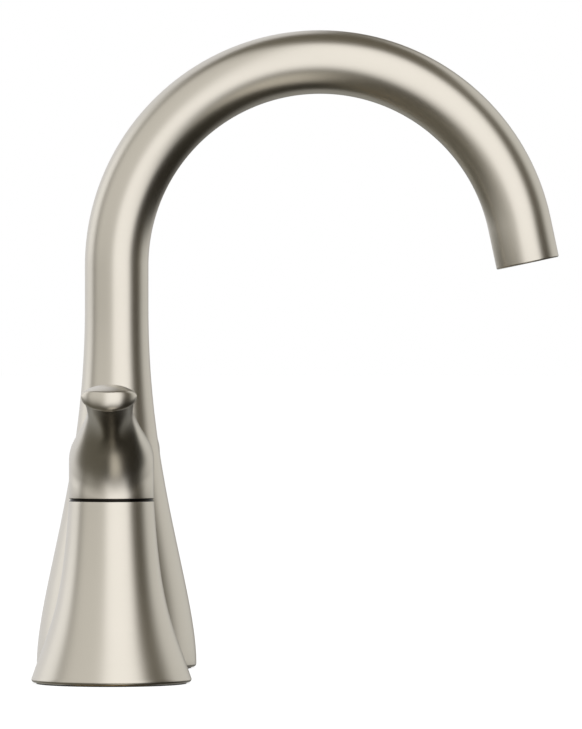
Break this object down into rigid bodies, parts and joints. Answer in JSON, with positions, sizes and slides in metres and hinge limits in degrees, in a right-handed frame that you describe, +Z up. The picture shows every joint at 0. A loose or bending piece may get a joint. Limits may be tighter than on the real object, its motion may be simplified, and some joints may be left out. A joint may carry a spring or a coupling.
{
  "type": "widespread bathroom faucet",
  "caption": "Widespread bathroom faucet: a gooseneck spout on a flared base between two quarter-turn lever valves, with the fixings under the deck.",
  "frame": {"origin": "on the deck plane at the centre of the spout's hole", "axes": "+Z up from the deck, -Y forward along the spout's reach to the user, +X to the cold valve on the user's right"},
  "size_m": [0.3152, 0.169, 0.3093],
  "materials": {
    "nickel": "satin brushed nickel",
    "brass": "machined",
    "steel": "zinc plated",
    "rubber": "matt moulded",
    "white_plastic": "matt moulded",
    "grey_plastic": "matt moulded",
    "ceramic": "lapped"
  },
  "bodies": {
    "deck_set": {"hot_lower_disc": "ceramic", "hot_seat_seal": "rubber", "hot_cartridge_body": "brass", "hot_cartridge_nut": "brass", "hot_glide_ring": "grey_plastic", "hot_escutcheon": "nickel", "hot_base_gasket": "rubber", "hot_valve_body": "brass", "hot_body_gasket": "rubber", "hot_rubber_washer": "rubber", "hot_steel_washer": "steel", "hot_mounting_nut": "brass", "hot_outlet_nipple": "brass", "cold_lower_disc": "ceramic", "cold_seat_seal": "rubber", "cold_cartridge_body": "brass", "cold_cartridge_nut": "brass", "cold_glide_ring": "grey_plastic", "cold_escutcheon": "nickel", "cold_base_gasket": "rubber", "cold_valve_body": "brass", "cold_body_gasket": "rubber", "cold_rubber_washer": "rubber", "cold_steel_washer": "steel", "cold_mounting_nut": "brass", "cold_outlet_nipple": "brass", "spout_shell": "nickel", "spout_base_gasket": "rubber", "spout_shank": "brass", "shank_gasket": "rubber", "spout_o_rings": "rubber", "spout_rubber_washer": "rubber", "spout_steel_washer": "steel", "spout_mounting_nut": "brass", "spout_tee": "brass", "tee_washer": "rubber", "aerator_washer": "rubber", "aerator_housing": "grey_plastic", "flow_restrictor": "white_plastic", "aerator_screen": "white_plastic"},
    "hot_handle": {"hot_lever_handle": "nickel", "hot_set_screw": "steel", "hot_screw_plug": "nickel", "hot_stem_adapter": "brass", "hot_adapter_screw": "steel", "hot_cartridge_stem": "brass", "hot_stem_clip": "steel", "hot_stem_o_ring": "rubber", "hot_upper_disc": "ceramic"},
    "cold_handle": {"cold_lever_handle": "nickel", "cold_set_screw": "steel", "cold_screw_plug": "nickel", "cold_stem_adapter": "brass", "cold_adapter_screw": "steel", "cold_cartridge_stem": "brass", "cold_stem_clip": "steel", "cold_stem_o_ring": "rubber", "cold_upper_disc": "ceramic"}
  },
  "joints": [
    {"name": "hot_handle_turn", "type": "hinge", "parent": "deck_set", "child": "hot_handle", "pos_m": [-0.1016, 0, 0.06], "axis": [0, 0, 1], "range_deg": [0, 90]},
    {"name": "cold_handle_turn", "type": "hinge", "parent": "deck_set", "child": "cold_handle", "pos_m": [0.1016, 0, 0.06], "axis": [0, 0, 1], "range_deg": [-90, 0]}
  ]
}
